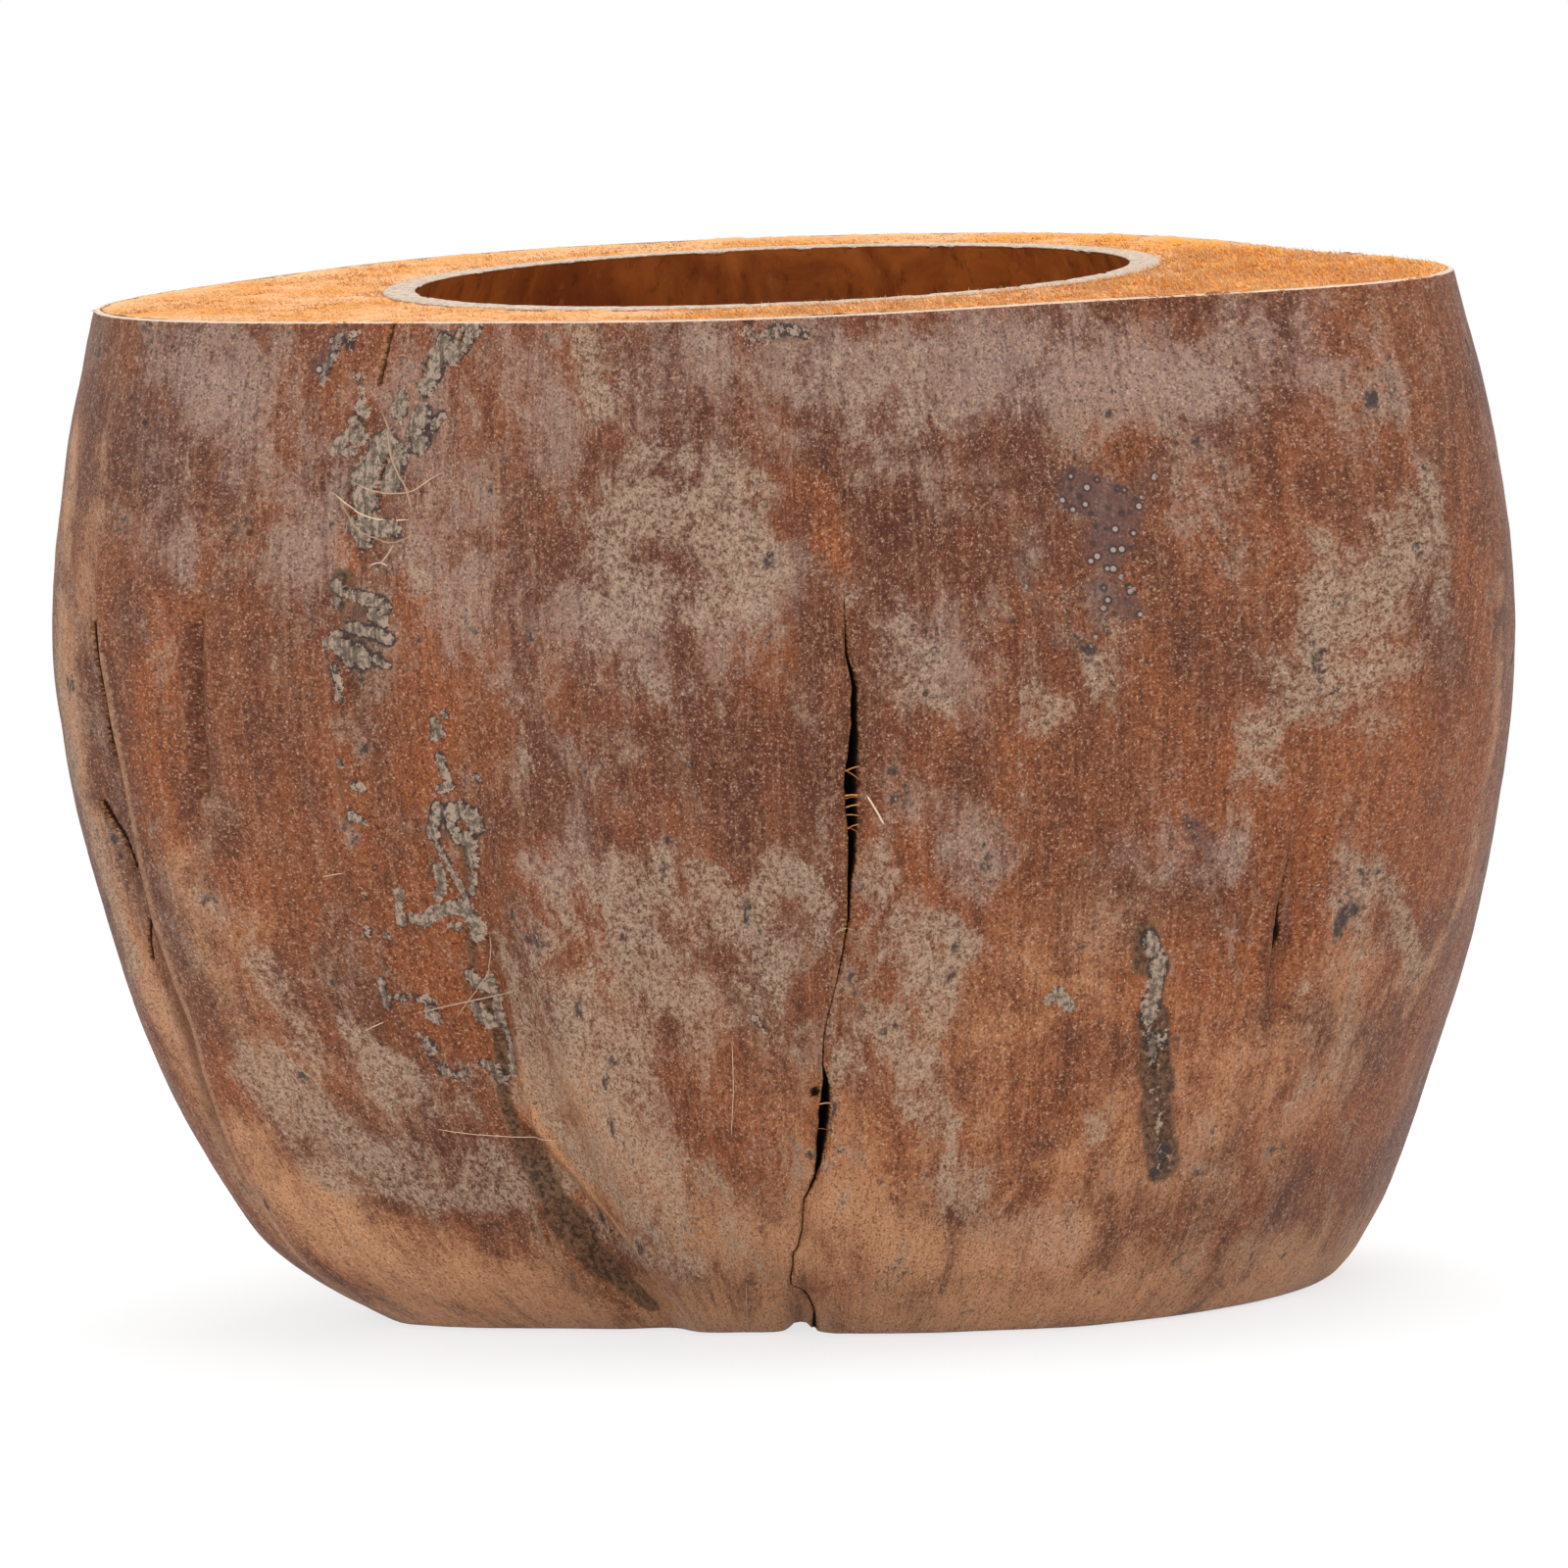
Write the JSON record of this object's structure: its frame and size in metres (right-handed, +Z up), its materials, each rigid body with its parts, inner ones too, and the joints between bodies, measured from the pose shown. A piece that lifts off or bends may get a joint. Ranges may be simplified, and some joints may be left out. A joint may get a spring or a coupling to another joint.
{
  "type": "coconut shell bowl",
  "caption": "Deep bowl made from a sawn dried coconut: hard shell cup inside its fibrous husk and skin, with a flat cut foot and rim.",
  "frame": {"origin": "on the axis of the shell cup, in the plane of the flat sawn foot", "axes": "+Z up along the axis of the cup, -Y towards the front, +X to the right as seen from the front"},
  "size_m": [0.2004, 0.1561, 0.141],
  "materials": {
    "husk_skin": "dry satin skin, red brown with chalky lichen, scratches and dust",
    "coir": "matt sawn fibre, orange tan",
    "hard_shell": "semi gloss dark brown inside, pale grey on the sawn rim",
    "pore_plug": "matt dark brown membrane"
  },
  "bodies": {
    "root": {"skin": "husk_skin", "coir_husk": "coir", "shell": "hard_shell", "soft_pore_plug": "pore_plug", "left_hard_pore_plug": "pore_plug", "right_hard_pore_plug": "pore_plug"}
  },
  "joints": []
}
